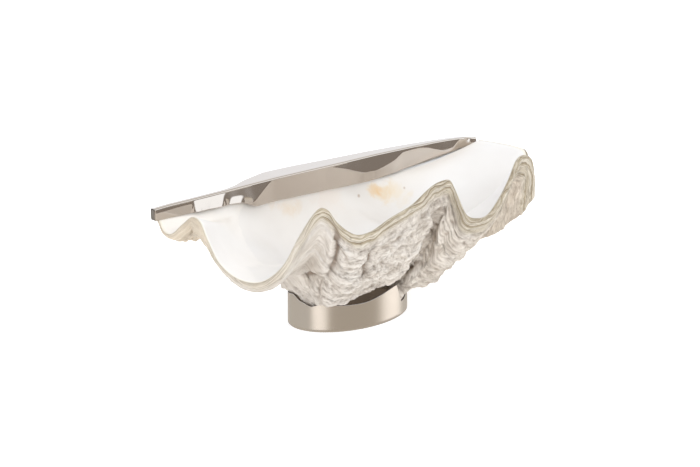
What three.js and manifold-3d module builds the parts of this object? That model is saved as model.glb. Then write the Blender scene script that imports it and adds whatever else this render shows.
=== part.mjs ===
import * as THREE from 'three';
import { mergeVertices } from 'three/addons/utils/BufferGeometryUtils.js';
import Module from 'manifold-3d';

// Giant clam valve lying hollow side up in an oval metal collar, with a folded metal cap
// over its straight hinge. Millimetres; the origin is the middle of the collar's foot,
// X runs along the hinge, Y points to the hinge side and Z is up.

const hinge = { left: -252, right: 352, y: 103, z: 180, beak: -25, fan: 0.36, blend: 40 };
const outline = { front: -136, power: 3.2, z: 176, chord: 18, samples: 4000 };
// Heights of the margin at the ends of the hinge, and how far along it they are felt.
const ends = { left: { z: 170, reach: 40 }, right: { z: 167, reach: 14 } };

// Folds of the margin: run along the outline from the left end of the hinge,
// push outwards, rise above the mean outline.
const folds = [
  [0, 0, 0],
  [6, 1, -7],
  [24, 8, -17],
  [41, 9, -19],
  [53, 0, -5],
  [64, -8, 6],
  [84, -4, 5],
  [106, 5, -15],
  [131, 14, -42],
  [158, 19, -57],
  [182, 20, -58],
  [205, 12, -42],
  [230, -3, -4],
  [252, -11, 22],
  [264, -13, 29],
  [275, -12, 24],
  [286, -3, 7],
  [306, 6, -8],
  [325, 8, -7],
  [363, 4, 5],
  [406, -2, 14],
  [445, -8, 29],
  [470, -13, 32],
  [486, -13, 30],
  [494, -4, 9],
  [499, 9, -18],
  [515, 12, -24],
  [534, 12, -24],
  [564, 6, -10],
  [599, -2, 13],
  [630, -9, 33],
  [652, -10, 35],
  [672, -8, 27],
  [692, -8, -3],
  [716, -11, -36],
  [742, -11, -42],
  [775, -8, -12],
  [800, -3, 7],
  [820, -3, 8],
  [923, 0, 0],
];

// Bowl from the left end to the right end: share of the outline, drop and backward lean
// of the hinge wall, reach of the belly towards the margin, drop of the belly.
const belly = [
  [0, 16, 2, 0.5, 10],
  [0.06, 52, 4, 0.5, 28],
  [0.19, 87, 14, 0.62, 53],
  [0.28, 128, 18, 0.76, 126],
  [0.35, 144, 20, 0.82, 168],
  [0.5, 148, 20, 0.82, 172],
  [0.62, 140, 18, 0.78, 156],
  [0.72, 124, 15, 0.7, 134],
  [0.82, 108, 12, 0.6, 118],
  [0.94, 60, 4, 0.5, 44],
  [1, 40, 2, 0.5, 30],
];

// Wall of the valve: share of the way from hinge to margin, thickness.
const wall = [
  [0, 28],
  [0.3, 26],
  [0.7, 19],
  [0.9, 11],
  [1, 6],
];
const ribs = { inside: 1.8, outside: 1.1, groove: 1.7, turn: 24, soften: 40 };

// Swellings and hollows of the outside: run, share of the way to the margin,
// half width along the outline, half length along the rib, height.
const swells = [
  [55, 0.93, 12, 0.08, 7],
  [76, 0.91, 17, 0.09, 17],
  [140, 0.91, 36, 0.13, -5],
  [265, 0.52, 34, 0.14, -6],
  [268, 0.78, 9, 0.05, -8],
  [281, 0.93, 7, 0.06, -3],
  [312, 0.74, 22, 0.12, 4],
  [345, 0.88, 11, 0.08, -4],
  [392, 0.86, 24, 0.09, 7],
  [428, 0.88, 14, 0.08, 6],
  [462, 0.87, 12, 0.08, -7],
  [455, 0.73, 12, 0.05, -7],
  [492, 0.7, 10, 0.05, 6],
  [501, 0.6, 10, 0.05, 7],
  [514, 0.82, 16, 0.09, -7],
  [545, 0.82, 22, 0.1, -11],
];

// Rows from hinge to margin and the growth ledges that stand out on the outside.
const rows = [
  0, 0.08, 0.18, 0.3, 0.4, 0.5, 0.57, 0.585, 0.66, 0.72, 0.735, 0.79, 0.84, 0.855, 0.9, 0.94, 0.955, 1,
];
const columns = 104;
const ledges = { start: 0.33, edges: [0.585, 0.735, 0.855, 0.955, 1.05], lip: 0.015, tall: 3 };

// Cap over the hinge: place along X, height of the top, height of the front edge, depth.
const capFolds = [
  [-259, 182, 166, 9],
  [-230, 183.5, 166, 9],
  [-190, 184, 166, 9],
  [-130, 185, 165.5, 10],
  [-110, 185.5, 164, 15],
  [-88, 186, 154, 25],
  [-40, 187, 153, 38],
  [13, 187, 152, 37],
  [82, 187, 151, 31],
  [150, 187.5, 152, 25],
  [190, 187, 154.5, 21.5],
  [231, 186.5, 158, 18],
  [270, 185.5, 163.5, 15],
  [303, 184, 166, 13],
  [338, 181.5, 167.5, 10],
  [356, 177.5, 167.5, 9],
];
const cap = { front: 100, sheet: 1.6, back: 14, slack: 5 };
const gap = 0.4;

// Collar, and its rim before the valve is let into it: angle in degrees, height.
const collar = { half: 97, side: 66, wall: 2.6, floor: 3, chamfer: 0.8, sides: 90 };
const rim = [
  [0, 50],
  [90, 51],
  [160, 56],
  [187, 56],
  [203, 48],
  [220, 41.5],
  [240, 39],
  [252, 39.5],
  [266, 45],
  [281, 52],
  [300, 52],
  [360, 50],
];

const wasm = await Module();
wasm.setup();

function mix(from, to, share) {
  return from + (to - from) * share;
}

function smooth(value) {
  const held = Math.min(1, Math.max(0, value));
  return held * held * (3 - 2 * held);
}

function along(table, column, place) {
  if (place <= table[0][0]) return table[0][column];
  for (let index = 1; index < table.length; index += 1) {
    const before = table[index - 1];
    const after = table[index];
    if (place <= after[0]) {
      return mix(before[column], after[column], (place - before[0]) / (after[0] - before[0]));
    }
  }
  return table[table.length - 1][column];
}

// Value between the rows of a table with an even slope through every row.
function flowing(table, column, place) {
  let index = 1;
  while (index < table.length - 1 && place > table[index][0]) index += 1;
  const [start, end] = [table[index - 1], table[index]];
  const before = table[Math.max(0, index - 2)];
  const after = table[Math.min(table.length - 1, index + 1)];
  const span = end[0] - start[0];
  const slopeStart = (span * (end[column] - before[column])) / (end[0] - before[0]);
  const slopeEnd = (span * (after[column] - start[column])) / (after[0] - start[0]);
  const part = (place - start[0]) / span;
  const square = part * part;
  const cube = square * part;
  return (
    start[column] * (2 * cube - 3 * square + 1) +
    slopeStart * (cube - 2 * square + part) +
    end[column] * (3 * square - 2 * cube) +
    slopeEnd * (cube - square)
  );
}

// Mean outline of the margin, a squarish half oval, measured by its length.
function meanOutline() {
  const half = (hinge.right - hinge.left) / 2;
  const middle = (hinge.right + hinge.left) / 2;
  const reach = hinge.y - outline.front;
  const points = [];
  let run = 0;
  for (let index = 0; index <= outline.samples; index += 1) {
    const angle = (Math.PI * index) / outline.samples;
    const cosine = Math.cos(angle);
    const sine = Math.max(0, Math.sin(angle));
    const x = middle - half * Math.sign(cosine) * Math.abs(cosine) ** (2 / outline.power);
    const y = hinge.y - reach * sine ** (2 / outline.power);
    if (index > 0) {
      const last = points[index - 1];
      run += Math.hypot(x - last[1], y - last[2]);
    }
    points.push([run, x, y]);
  }
  return points;
}

const mean = meanOutline();
const fullRun = mean[mean.length - 1][0];

function meanAt(run) {
  let low = 0;
  let high = mean.length - 1;
  while (high - low > 1) {
    const centre = (low + high) >> 1;
    if (mean[centre][0] < run) low = centre;
    else high = centre;
  }
  const part = (run - mean[low][0]) / (mean[high][0] - mean[low][0]);
  const held = Math.min(1, Math.max(0, part));
  const end = run < fullRun / 2 ? ends.left : ends.right;
  const edge = Math.min(run, fullRun - run) / end.reach;
  return new THREE.Vector3(
    mix(mean[low][1], mean[high][1], held),
    mix(mean[low][2], mean[high][2], held),
    mix(end.z, outline.z, Math.min(1, Math.max(0, edge))),
  );
}

function outwardAt(run) {
  const before = meanAt(Math.max(0, run - outline.chord));
  const after = meanAt(Math.min(fullRun, run + outline.chord));
  const way = after.sub(before);
  return new THREE.Vector3(way.y, -way.x, 0).normalize();
}

const runScale = fullRun / folds[folds.length - 1][0];
const foldLine = new THREE.CatmullRomCurve3(
  folds.map(([run, out, rise]) => new THREE.Vector3(run * runScale, out, rise)),
  false,
  'centripetal',
);

function bowlPoint(share, mark, edge) {
  const start = new THREE.Vector3(mix(hinge.beak, edge.x, hinge.fan), hinge.y, hinge.z);
  const backWall = start.clone();
  backWall.y += flowing(belly, 2, share);
  backWall.z -= flowing(belly, 1, share);
  const floor = start.clone().lerp(edge, flowing(belly, 3, share));
  floor.z = hinge.z - flowing(belly, 4, share);
  return new THREE.CubicBezierCurve3(start, backWall, floor, edge).getPoint(mark);
}

// Grid directions that point into the bowl; the hinge edge is cut square.
function gridNormals(grid) {
  const square = new THREE.Vector3(0, -1, 0);
  return grid.map((line, column) =>
    line.map((point, row) => {
      if (row === 0 || column === 0 || column === grid.length - 1) return square.clone();
      const across = grid[column + 1][row].clone().sub(grid[column - 1][row]);
      const outer = line[Math.min(row + 1, line.length - 1)];
      const down = outer.clone().sub(line[row - 1]);
      return down.cross(across).normalize();
    }),
  );
}

function ledgeAt(mark) {
  let start = ledges.start;
  for (const edge of ledges.edges) {
    if (mark < edge) {
      const part = (mark - start) / (edge - ledges.lip - start);
      return ledges.tall * Math.max(0, Math.min(1, part));
    }
    start = edge;
  }
  return 0;
}

function swellAt(run, mark) {
  let sum = 0;
  for (const [place, level, wide, long, tall] of swells) {
    const aside = (run - place) / wide;
    const beyond = (mark - level) / long;
    sum += tall * Math.exp(-aside * aside - beyond * beyond);
  }
  return sum;
}

// Fold of the margin as it reaches a row: sharp at the edge, broader towards the hinge.
function softened(shifts, runs, column, mark) {
  const wide = ribs.soften * (1 - mark);
  if (wide < 1) return shifts[column].clone();
  const sum = new THREE.Vector3();
  let weight = 0;
  for (let other = 1; other < shifts.length - 1; other += 1) {
    const aside = (runs[other] - runs[column]) / wide;
    const share = Math.exp(-aside * aside) * (runs[other + 1] - runs[other - 1]);
    sum.addScaledVector(shifts[other], share);
    weight += share;
  }
  return sum.divideScalar(weight);
}

function wallAt(point, mark) {
  const fromHinge = Math.hypot(hinge.y - point.y, hinge.z - point.z) / hinge.blend;
  const near = Math.exp(-fromHinge * fromHinge);
  const atHinge = along(capFolds, 3, point.x) - cap.slack;
  return mix(along(wall, 1, mark), atHinge, near) + ledgeAt(mark) * (1 - near);
}

function closedShell(inside, outside) {
  const width = rows.length;
  const offset = inside.length * width;
  const points = [];
  for (const grid of [inside, outside]) {
    for (const line of grid) {
      for (const point of line) points.push(point.x, point.y, point.z);
    }
  }
  const faces = [];
  const at = (column, row) => column * width + row;
  const strip = (first, second) => {
    faces.push(second, first, first + offset);
    faces.push(second, first + offset, second + offset);
  };
  const lastColumn = inside.length - 1;
  const lastRow = width - 1;
  for (let column = 0; column < lastColumn; column += 1) {
    for (let row = 0; row < lastRow; row += 1) {
      const [a, b] = [at(column, row), at(column, row + 1)];
      const [c, d] = [at(column + 1, row + 1), at(column + 1, row)];
      faces.push(a, b, c, a, c, d);
      faces.push(a + offset, c + offset, b + offset, a + offset, d + offset, c + offset);
    }
    strip(at(column, lastRow), at(column + 1, lastRow));
    strip(at(column + 1, 0), at(column, 0));
  }
  for (let row = 0; row < lastRow; row += 1) {
    strip(at(0, row), at(0, row + 1));
    strip(at(lastColumn, row + 1), at(lastColumn, row));
  }
  return solidFrom(points, faces);
}

function solidFrom(points, faces) {
  const data = { numProp: 3, vertProperties: new Float32Array(points), triVerts: new Uint32Array(faces) };
  return new wasm.Manifold(new wasm.Mesh(data));
}

function solidOf(geometry) {
  geometry.deleteAttribute('normal');
  geometry.deleteAttribute('uv');
  const merged = mergeVertices(geometry);
  return solidFrom(merged.attributes.position.array, merged.index.array);
}

function valve(extra) {
  const runs = [];
  const shifts = [];
  for (let column = 0; column <= columns; column += 1) {
    const fold = foldLine.getPoint(column / columns);
    const run = Math.min(fullRun, Math.max(0, fold.x));
    const shift = outwardAt(run).multiplyScalar(fold.y);
    shift.z = fold.z;
    runs.push(run);
    shifts.push(shift);
  }
  const bowl = runs.map((run) => rows.map((mark) => bowlPoint(run / fullRun, mark, meanAt(run))));
  const bend = runs.map((run, column) => rows.map((mark) => softened(shifts, runs, column, mark)));
  const inside = bowl.map((line, column) =>
    line.map((point, row) => point.clone().addScaledVector(bend[column][row], rows[row] ** ribs.inside)),
  );
  const plain = gridNormals(bowl);
  const folded = gridNormals(inside);
  const outside = bowl.map((line, column) =>
    line.map((point, row) => {
      const mark = rows[row];
      const shift = bend[column][row];
      const power = mix(ribs.outside, ribs.groove, smooth(0.5 + shift.z / ribs.turn));
      const inward = plain[column][row].clone().add(folded[column][row]).normalize();
      const thick = wallAt(point, mark) + swellAt(runs[column], mark) + extra;
      return point.clone().addScaledVector(shift, mark ** power).addScaledVector(inward, -thick);
    }),
  );
  return closedShell(inside, outside);
}

// Folded sheet: front flange, top plate and back flange in one bent strip with closed ends.
function channel(grow) {
  const points = [];
  const faces = [];
  const sheet = cap.sheet + grow;
  const corners = 8;
  for (const [x, top, low, depth] of capFolds) {
    const back = cap.front + depth;
    const profile = [
      [cap.front - grow, low - grow],
      [cap.front - grow, top + grow],
      [back + grow, top + grow],
      [back + grow, top - cap.back - grow],
      [back - sheet, top - cap.back - grow],
      [back - sheet, top - sheet],
      [cap.front + sheet, top - sheet],
      [cap.front + sheet, low - grow],
    ];
    for (const [y, z] of profile) points.push(x, y, z);
  }
  for (let station = 0; station < capFolds.length - 1; station += 1) {
    for (let corner = 0; corner < corners; corner += 1) {
      const a = station * corners + corner;
      const b = station * corners + ((corner + 1) % corners);
      faces.push(a, a + corners, b + corners, a, b + corners, b);
    }
  }
  const ending = [0, 1, 6, 0, 6, 7, 1, 2, 5, 1, 5, 6, 2, 3, 4, 2, 4, 5];
  const last = (capFolds.length - 1) * corners;
  for (let index = 0; index < ending.length; index += 3) {
    const [a, b, c] = ending.slice(index, index + 3);
    faces.push(a, b, c, last + a, last + c, last + b);
  }
  return solidFrom(points, faces);
}

function endPlate(station, side, grow) {
  const [x, top, low, depth] = station;
  const size = [cap.sheet + 2 * grow, depth + 2 * grow, top - low + 2 * grow];
  const plate = new THREE.BoxGeometry(...size);
  plate.translate(x - (side * cap.sheet) / 2, cap.front + depth / 2, (top + low) / 2);
  return solidOf(plate);
}

function foldedCap(grow) {
  const left = endPlate(capFolds[0], -1, grow);
  const right = endPlate(capFolds[capFolds.length - 1], 1, grow);
  return channel(grow).add(left).add(right);
}

function ovalCollar() {
  const points = [];
  const faces = [];
  const rings = [
    [collar.chamfer, 0],
    [0, collar.chamfer],
    [0, null],
    [collar.wall, null],
    [collar.wall, collar.floor],
  ];
  for (const [inset, height] of rings) {
    for (let side = 0; side < collar.sides; side += 1) {
      const angle = (2 * Math.PI * side) / collar.sides;
      const top = flowing(rim, 1, (360 * side) / collar.sides);
      const x = (collar.half - inset) * Math.cos(angle);
      const y = (collar.side - inset) * Math.sin(angle);
      points.push(x, y, height === null ? top : height);
    }
  }
  points.push(0, 0, 0, 0, 0, collar.floor);
  const foot = rings.length * collar.sides;
  const floor = (rings.length - 1) * collar.sides;
  for (let side = 0; side < collar.sides; side += 1) {
    const next = (side + 1) % collar.sides;
    for (let ring = 0; ring < rings.length - 1; ring += 1) {
      const a = ring * collar.sides + side;
      const b = ring * collar.sides + next;
      faces.push(a, b, b + collar.sides, a, b + collar.sides, a + collar.sides);
    }
    faces.push(foot, next, side);
    faces.push(foot + 1, floor + side, floor + next);
  }
  return solidFrom(points, faces);
}

function largest(solid) {
  const pieces = solid.decompose();
  return pieces.reduce((best, piece) => (piece.volume() > best.volume() ? piece : best));
}

function geometryOf(solid) {
  const mesh = solid.getMesh();
  const places = new Float32Array(mesh.numVert * 3);
  for (let index = 0; index < mesh.numVert; index += 1) {
    for (let axis = 0; axis < 3; axis += 1) {
      places[index * 3 + axis] = mesh.vertProperties[index * mesh.numProp + axis];
    }
  }
  const geometry = new THREE.BufferGeometry();
  geometry.setAttribute('position', new THREE.BufferAttribute(places, 3));
  geometry.setIndex(new THREE.BufferAttribute(new Uint32Array(mesh.triVerts), 1));
  geometry.computeVertexNormals();
  return geometry;
}

function named(name, solid, color, roughness, metalness) {
  const material = new THREE.MeshStandardMaterial({ color, roughness, metalness });
  const mesh = new THREE.Mesh(geometryOf(solid), material);
  mesh.name = name;
  return mesh;
}

const group = new THREE.Group();
group.add(named('shell', largest(valve(0).subtract(foldedCap(gap))), '#ebe5da', 0.5, 0));
group.add(named('hinge_cap', foldedCap(0), '#b5b0a8', 0.14, 1));
group.add(named('base', largest(ovalCollar().subtract(valve(gap))), '#a39a90', 0.34, 1));

export default group;
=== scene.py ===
import math
import random

import bpy
import numpy as np
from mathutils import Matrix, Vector, noise
from mathutils.bvhtree import BVHTree


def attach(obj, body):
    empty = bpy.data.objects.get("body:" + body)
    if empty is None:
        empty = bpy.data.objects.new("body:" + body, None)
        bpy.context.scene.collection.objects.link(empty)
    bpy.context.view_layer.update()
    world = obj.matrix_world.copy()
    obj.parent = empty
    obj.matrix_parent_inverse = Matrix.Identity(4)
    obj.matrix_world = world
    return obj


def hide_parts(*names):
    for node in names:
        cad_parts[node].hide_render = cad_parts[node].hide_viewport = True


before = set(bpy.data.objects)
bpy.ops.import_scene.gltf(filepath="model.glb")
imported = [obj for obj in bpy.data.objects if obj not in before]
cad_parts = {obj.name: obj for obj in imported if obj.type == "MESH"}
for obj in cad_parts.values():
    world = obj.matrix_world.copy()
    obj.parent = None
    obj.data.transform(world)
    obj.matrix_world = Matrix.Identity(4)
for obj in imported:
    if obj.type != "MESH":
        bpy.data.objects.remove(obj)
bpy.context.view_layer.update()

metre = 0.001  # shapes below are worked out in millimetres


# wraps a socket, so that shader maths reads as plain sums
class Wire:
    def __init__(self, paint, socket):
        self.paint = paint
        self.socket = socket

    def combine(self, operation, first, second):
        settings = {"operation": operation}
        return self.paint.node("ShaderNodeMath", settings, {0: first, 1: second})

    def __add__(self, other):
        return self.combine("ADD", self, other)

    def __radd__(self, other):
        return self.combine("ADD", other, self)

    def __sub__(self, other):
        return self.combine("SUBTRACT", self, other)

    def __rsub__(self, other):
        return self.combine("SUBTRACT", other, self)

    def __mul__(self, other):
        return self.combine("MULTIPLY", self, other)

    def __rmul__(self, other):
        return self.combine("MULTIPLY", other, self)

    def __truediv__(self, other):
        return self.combine("DIVIDE", self, other)

    def __rtruediv__(self, other):
        return self.combine("DIVIDE", other, self)


# one material or world and its nodes
class Paint:
    def __init__(self, owner):
        self.owner = owner
        owner.use_nodes = True
        self.tree = owner.node_tree
        self.tree.nodes.clear()

    def node(self, kind, settings, sockets, out=0):
        made = self.tree.nodes.new(kind)
        for key, value in settings.items():
            if key == "stops":
                ramp = made.color_ramp
                while len(ramp.elements) > 1:
                    ramp.elements.remove(ramp.elements[-1])
                for index, (place, colour) in enumerate(value):
                    stop = ramp.elements[0] if index == 0 else ramp.elements.new(place)
                    stop.position = place
                    stop.color = (*colour, 1)
            else:
                setattr(made, key, value)
        for key, value in sockets.items():
            socket = made.inputs[key]
            if isinstance(value, Wire):
                self.tree.links.new(value.socket, socket)
            elif isinstance(value, tuple) and len(value) == 3 and socket.type == "RGBA":
                socket.default_value = (*value, 1)
            else:
                socket.default_value = value
        return Wire(self, made.outputs[out]) if made.outputs else None

    def value(self, name):
        return self.node("ShaderNodeAttribute", {"attribute_name": name}, {}, "Fac")

    def blend(self, share, first, second):
        settings = {"data_type": "RGBA"}
        return self.node("ShaderNodeMix", settings, {0: share, 6: first, 7: second}, 2)

    def tint(self, share, first, second):
        settings = {"data_type": "RGBA", "blend_type": "MULTIPLY"}
        return self.node("ShaderNodeMix", settings, {0: share, 6: first, 7: second}, 2)

    def step(self, value, low, high):
        settings = {"interpolation_type": "SMOOTHSTEP"}
        return self.node("ShaderNodeMapRange", settings, {0: value, 1: low, 2: high})

    def place(self):
        return self.node("ShaderNodeTexCoord", {}, {}, "Object")

    def vector(self, x, y, z):
        return self.node("ShaderNodeCombineXYZ", {}, {0: x, 1: y, 2: z})

    def grain(self, where, scale, detail=4.0, rough=0.55, warp=0.0):
        sockets = {"Vector": where, "Scale": scale, "Detail": detail, "Roughness": rough}
        return self.node("ShaderNodeTexNoise", {}, {**sockets, "Distortion": warp})

    def ramp(self, value, stops):
        return self.node("ShaderNodeValToRGB", {"stops": stops}, {0: value})

    # a ramp of plain numbers
    def levels(self, value, stops):
        return self.ramp(value, [(place, (shade, shade, shade)) for place, shade in stops])

    def distance(self, first, second):
        settings = {"operation": "DISTANCE"}
        return self.node("ShaderNodeVectorMath", settings, {0: first, 1: second}, "Value")

    def bump(self, height, strength, distance):
        sockets = {"Height": height, "Strength": strength, "Distance": distance}
        return self.node("ShaderNodeBump", {}, sockets)

    def surface(self, sockets):
        shader = self.node("ShaderNodeBsdfPrincipled", {}, sockets)
        self.node("ShaderNodeOutputMaterial", {}, {"Surface": shader})


def mix(first, second, share):
    return first + (second - first) * share


def smooth(value):
    held = np.clip(value, 0, 1)
    return held * held * (3 - 2 * held)


def along(table, column, place):
    rows = np.array(table, float)
    return np.interp(place, rows[:, 0], rows[:, column])


# value between the rows of a table, with an even slope through every row
def flowing(table, column, place):
    rows = np.array(table, float)
    spots, values = rows[:, 0], rows[:, column]
    slopes = np.gradient(values, spots)
    slopes[1:-1] = (values[2:] - values[:-2]) / (spots[2:] - spots[:-2])
    index = np.clip(np.searchsorted(spots, place) - 1, 0, len(spots) - 2)
    span = spots[index + 1] - spots[index]
    part = (place - spots[index]) / span
    square, cube = part**2, part**3
    return (
        values[index] * (2 * cube - 3 * square + 1)
        + slopes[index] * span * (cube - 2 * square + part)
        + values[index + 1] * (3 * square - 2 * cube)
        + slopes[index + 1] * span * (cube - square)
    )


def unit(vectors):
    return vectors / np.maximum(np.linalg.norm(vectors, axis=-1, keepdims=True), 1e-9)


# smooth noise between -1 and 1 at an array of places, in millimetres
def roughness(places, size, seed):
    flat = places.reshape(-1, 3) / size
    values = [noise.noise(Vector((x + seed, y - seed, z + 0.5 * seed))) for x, y, z in flat]
    return np.array(values).reshape(places.shape[:-1])


def makePiece(name, points, faces, values):
    mesh = bpy.data.meshes.new(name)
    mesh.from_pydata((points * metre).tolist(), [], faces)
    for key, numbers in values.items():
        layer = mesh.attributes.new(key, "FLOAT", "POINT")
        layer.data.foreach_set("value", np.asarray(numbers, np.float32))
    mesh.polygons.foreach_set("use_smooth", [True] * len(mesh.polygons))
    mesh.validate()
    piece = bpy.data.objects.new(name, mesh)
    bpy.context.scene.collection.objects.link(piece)
    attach(piece, "root")
    return piece


def gridFaces(spots, flip):
    a, b, c, d = spots[:-1, :-1], spots[:-1, 1:], spots[1:, 1:], spots[1:, :-1]
    corners = (a, d, c, b) if flip else (a, b, c, d)
    return np.stack(corners, -1).reshape(-1, 4).tolist()


valve = {
    "hinge": {"left": -252, "right": 352, "y": 103, "z": 180, "beak": -25, "fan": 0.36, "blend": 40},
    "ends": {"left": (170, 40), "right": (167, 14)},  # height and reach of each end
    "outline": {"front": -136, "power": 3.2, "z": 176, "chord": 18},
    "samples": {"outline": 4001, "fold": 30},
    # run along the outline, push outwards, rise
    "folds": [
        (0, 0, 0), (6, 1, -7), (24, 8, -17), (41, 9, -19), (53, 0, -5), (64, -8, 6), (84, -4, 5),
        (106, 5, -15), (131, 14, -42), (158, 19, -57), (182, 20, -58), (205, 12, -42), (230, -3, -4),
        (252, -11, 22), (264, -13, 29), (275, -12, 24), (286, -3, 7), (306, 6, -8), (325, 8, -7),
        (363, 4, 5), (406, -2, 14), (445, -8, 29), (470, -13, 32), (486, -13, 30), (494, -4, 9),
        (499, 9, -18), (515, 12, -24), (534, 12, -24), (564, 6, -10), (599, -2, 13), (630, -9, 33),
        (652, -10, 35), (672, -8, 27), (692, -8, -3), (716, -11, -36), (742, -11, -42), (775, -8, -12),
        (800, -3, 7), (820, -3, 8), (923, 0, 0),
    ],
    # share of the outline, drop and lean of the hinge wall, reach and drop of the belly
    "belly": [
        (0, 16, 2, 0.5, 10), (0.06, 52, 4, 0.5, 28), (0.19, 87, 14, 0.62, 53), (0.28, 128, 18, 0.76, 126),
        (0.35, 144, 20, 0.82, 168), (0.5, 148, 20, 0.82, 172), (0.62, 140, 18, 0.78, 156),
        (0.72, 124, 15, 0.7, 134), (0.82, 108, 12, 0.6, 118), (0.94, 60, 4, 0.5, 44), (1, 40, 2, 0.5, 30),
    ],
    "wall": [(0, 28), (0.3, 26), (0.7, 19), (0.9, 11), (1, 6)],
    "ribs": {"inside": 1.8, "outside": 1.1, "groove": 1.7, "turn": 24, "soften": 40},
    # run, share of the way to the margin, half width, half length, height
    "swells": [
        (55, 0.93, 12, 0.08, 7), (76, 0.91, 17, 0.09, 17), (140, 0.91, 36, 0.13, -5),
        (265, 0.52, 34, 0.14, -6), (268, 0.78, 9, 0.05, -8), (281, 0.93, 7, 0.06, -3),
        (312, 0.74, 22, 0.12, 4), (345, 0.88, 11, 0.08, -4), (392, 0.86, 24, 0.09, 7),
        (428, 0.88, 14, 0.08, 6), (462, 0.87, 12, 0.08, -7), (455, 0.73, 12, 0.05, -7),
        (492, 0.7, 10, 0.05, 6), (501, 0.6, 10, 0.05, 7), (514, 0.82, 16, 0.09, -7),
        (545, 0.82, 22, 0.1, -11),
    ],
    "ledges": {"start": 0.33, "edges": (0.585, 0.735, 0.855, 0.955, 1.05), "lip": 0.015, "tall": 3},
    "columns": 560,
    # run, how close together the columns are
    "closeness": [(0, 1.3), (110, 1.3), (140, 1), (255, 1), (275, 2.4), (520, 2.4), (550, 1.2), (923, 1)],
    "leastStep": 0.15,
    "insideRows": 40,
    "backRows": 26,
    "frontRows": 104,
    "frontStart": 0.5,
    "lipRows": 4,
    "lipBulge": 2.2,
}

cap = {
    # place along X, top, lower edge in front, depth
    "folds": [
        (-259, 182, 166, 9), (-230, 183.5, 166, 9), (-190, 184, 166, 9), (-130, 185, 165.5, 10),
        (-110, 185.5, 164, 15), (-88, 186, 154, 25), (-40, 187, 153, 38), (13, 187, 152, 37),
        (82, 187, 151, 31), (150, 187.5, 152, 25), (190, 187, 154.5, 21.5), (231, 186.5, 158, 18),
        (270, 185.5, 163.5, 15), (303, 184, 166, 13), (338, 181.5, 167.5, 10), (356, 177.5, 167.5, 9),
    ],
    "front": 100,
    "sheet": 1.6,
    "back": 14,
    "slack": 5,
}


# mean outline of the margin, a squarish half oval measured by its length
def meanOutline():
    hinge, outline = valve["hinge"], valve["outline"]
    half = (hinge["right"] - hinge["left"]) / 2
    angle = np.linspace(0, math.pi, valve["samples"]["outline"])
    cosine, sine = np.cos(angle), np.clip(np.sin(angle), 0, 1)
    power = 2 / outline["power"]
    x = hinge["left"] + half - half * np.sign(cosine) * np.abs(cosine) ** power
    y = hinge["y"] - (hinge["y"] - outline["front"]) * sine**power
    run = np.concatenate([[0], np.cumsum(np.hypot(np.diff(x), np.diff(y)))])
    return run, x, y


mean = meanOutline()
fullRun = mean[0][-1]


def meanAt(run):
    outline, ends = valve["outline"], valve["ends"]
    atLeft = run < fullRun / 2
    low, reach = (np.where(atLeft, *pair) for pair in zip(ends["left"], ends["right"]))
    edge = np.clip(np.minimum(run, fullRun - run) / reach, 0, 1)
    height = mix(low, outline["z"], edge)
    return np.stack([np.interp(run, mean[0], mean[1]), np.interp(run, mean[0], mean[2]), height], -1)


def outwardAt(run):
    chord = valve["outline"]["chord"]
    way = meanAt(np.minimum(fullRun, run + chord)) - meanAt(np.maximum(0, run - chord))
    return unit(np.stack([way[:, 1], -way[:, 0], 0 * run], -1))


# smooth line through the folds, steps points to a stretch
def foldLine(steps):
    points = np.array(valve["folds"], float)
    points[:, 0] *= fullRun / points[-1, 0]
    ends = np.vstack([2 * points[0] - points[1], points, 2 * points[-1] - points[-2]])
    line = []
    for index in range(len(points) - 1):
        p0, p1, p2, p3 = ends[index:index + 4]
        t1 = np.linalg.norm(p1 - p0) ** 0.5
        t2 = t1 + np.linalg.norm(p2 - p1) ** 0.5
        t3 = t2 + np.linalg.norm(p3 - p2) ** 0.5
        t = np.linspace(t1, t2, steps, endpoint=False)[:, None]
        a1 = mix(p0, p1, t / t1)
        a2 = mix(p1, p2, (t - t1) / (t2 - t1))
        a3 = mix(p2, p3, (t - t2) / (t3 - t2))
        b1 = mix(a1, a2, t / t2)
        b2 = mix(a2, a3, (t - t1) / (t3 - t1))
        line.append(mix(b1, b2, (t - t1) / (t2 - t1)))
    line.append(points[-1:])
    return np.vstack(line)


# columns evenly spaced along the folded margin: runs and shifts from the mean outline
def marginColumns():
    line = foldLine(valve["samples"]["fold"])
    run = np.clip(line[:, 0], 0, fullRun)
    shift = outwardAt(run) * line[:, 1:2]
    shift[:, 2] = line[:, 2]
    edge = meanAt(run) + shift
    steps = np.linalg.norm(np.diff(edge, axis=0), axis=1) * along(valve["closeness"], 1, run[1:])
    length = np.concatenate([[0], np.cumsum(steps)])
    even = np.linspace(0, length[-1], valve["columns"])
    steps = np.maximum(np.diff(np.interp(even, length, run)), valve["leastStep"])
    runs = np.concatenate([[0], np.cumsum(steps)])
    runs *= fullRun / runs[-1]
    return runs, np.stack([np.interp(even, length, shift[:, axis]) for axis in range(3)], -1)


def bowlGrid(runs, marks):
    hinge = valve["hinge"]
    share = runs / fullRun
    edge = meanAt(runs)
    level = 0 * runs
    fanned = mix(hinge["beak"], edge[:, 0], hinge["fan"])
    start = np.stack([fanned, level + hinge["y"], level + hinge["z"]], -1)
    back = start.copy()
    back[:, 1] += flowing(valve["belly"], 2, share)
    back[:, 2] -= flowing(valve["belly"], 1, share)
    floor = mix(start, edge, flowing(valve["belly"], 3, share)[:, None])
    floor[:, 2] = hinge["z"] - flowing(valve["belly"], 4, share)
    t = marks[None, :, None]
    ends = (1 - t) ** 3 * start[:, None] + t**3 * edge[:, None]
    return ends + 3 * t * (1 - t) ** 2 * back[:, None] + 3 * t**2 * (1 - t) * floor[:, None]


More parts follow.
